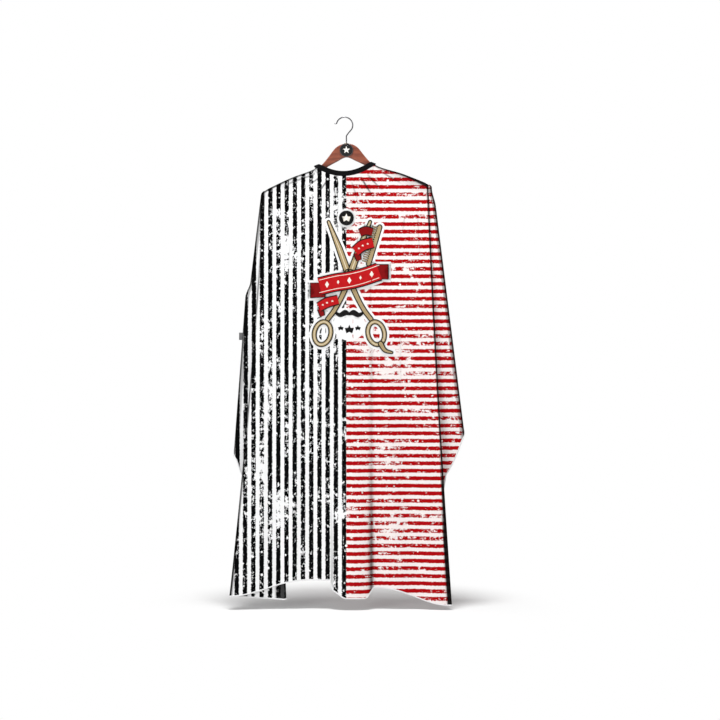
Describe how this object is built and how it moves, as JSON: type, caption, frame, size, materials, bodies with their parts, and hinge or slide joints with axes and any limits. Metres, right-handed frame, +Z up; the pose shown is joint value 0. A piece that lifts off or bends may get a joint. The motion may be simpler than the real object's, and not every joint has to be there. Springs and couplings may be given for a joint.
{
  "type": "barber cape",
  "caption": "Striped barber cape with a snap neckband, hanging in folds from a wooden hanger with a swivelling wire hook.",
  "frame": {"origin": "point where the rail bears under the hook's arch, on the shank's axis", "axes": "+Z up, the printed front faces -Y, +X to the right seen from the front"},
  "size_m": [0.6318, 0.071, 1.3124],
  "materials": {
    "dark_steel": "dark polished wire",
    "hanger_wood": "reddish-brown satin lacquer",
    "brass": "satin",
    "badge_black": "gloss",
    "badge_cream": "gloss",
    "band_black": "ribbed elastic webbing",
    "cap_black": "gloss",
    "print_black": "smooth polyester, worn black stripes on white",
    "print_red": "smooth polyester, worn red stripes on white",
    "edge_white": "white overlock thread"
  },
  "bodies": {
    "hook": {"hook_wire": "dark_steel", "shank_nut": "dark_steel"},
    "hanger": {"hanger_body": "hanger_wood", "hook_ferrule": "brass", "swivel_washer": "brass", "badge_disc": "badge_black", "badge_bezel": "dark_steel", "badge_motif": "badge_cream"},
    "cape": {"neckband_front": "band_black", "neckband_back_left": "band_black", "neckband_back_right": "band_black", "stud_inner": "dark_steel", "stud_post_inner": "dark_steel", "stud_outer": "dark_steel", "stud_post_outer": "dark_steel", "front_panel": "print_black", "front_hem": "edge_white", "back_panel_left": "print_black", "back_panel_right": "print_red", "back_hem_left": "edge_white", "back_hem_right": "edge_white", "left_pleat": "print_black", "right_pleat": "print_red", "left_pleat_hem": "edge_white", "right_pleat_hem": "edge_white", "wing_left": "print_black", "wing_right": "print_red", "wing_hem_left": "edge_white", "wing_hem_right": "edge_white", "side_loop": "band_black"},
    "closure": {"closure_tab": "band_black", "tab_socket": "dark_steel", "tab_cap": "cap_black"}
  },
  "joints": [
    {"name": "hook_swivel", "type": "hinge", "parent": "hook", "child": "hanger", "pos_m": [0, 0, -0.08], "axis": [0, 0, 1], "continuous": true},
    {"name": "cape_lift", "type": "slide", "parent": "hanger", "child": "cape", "axis": [0, 0, 1], "range_m": [0, 1.33]},
    {"name": "closure_peel", "type": "hinge", "parent": "cape", "child": "closure", "pos_m": [-0.012, 0.0225, -0.1525], "axis": [0, 0, 1], "range_deg": [0, 120]}
  ]
}
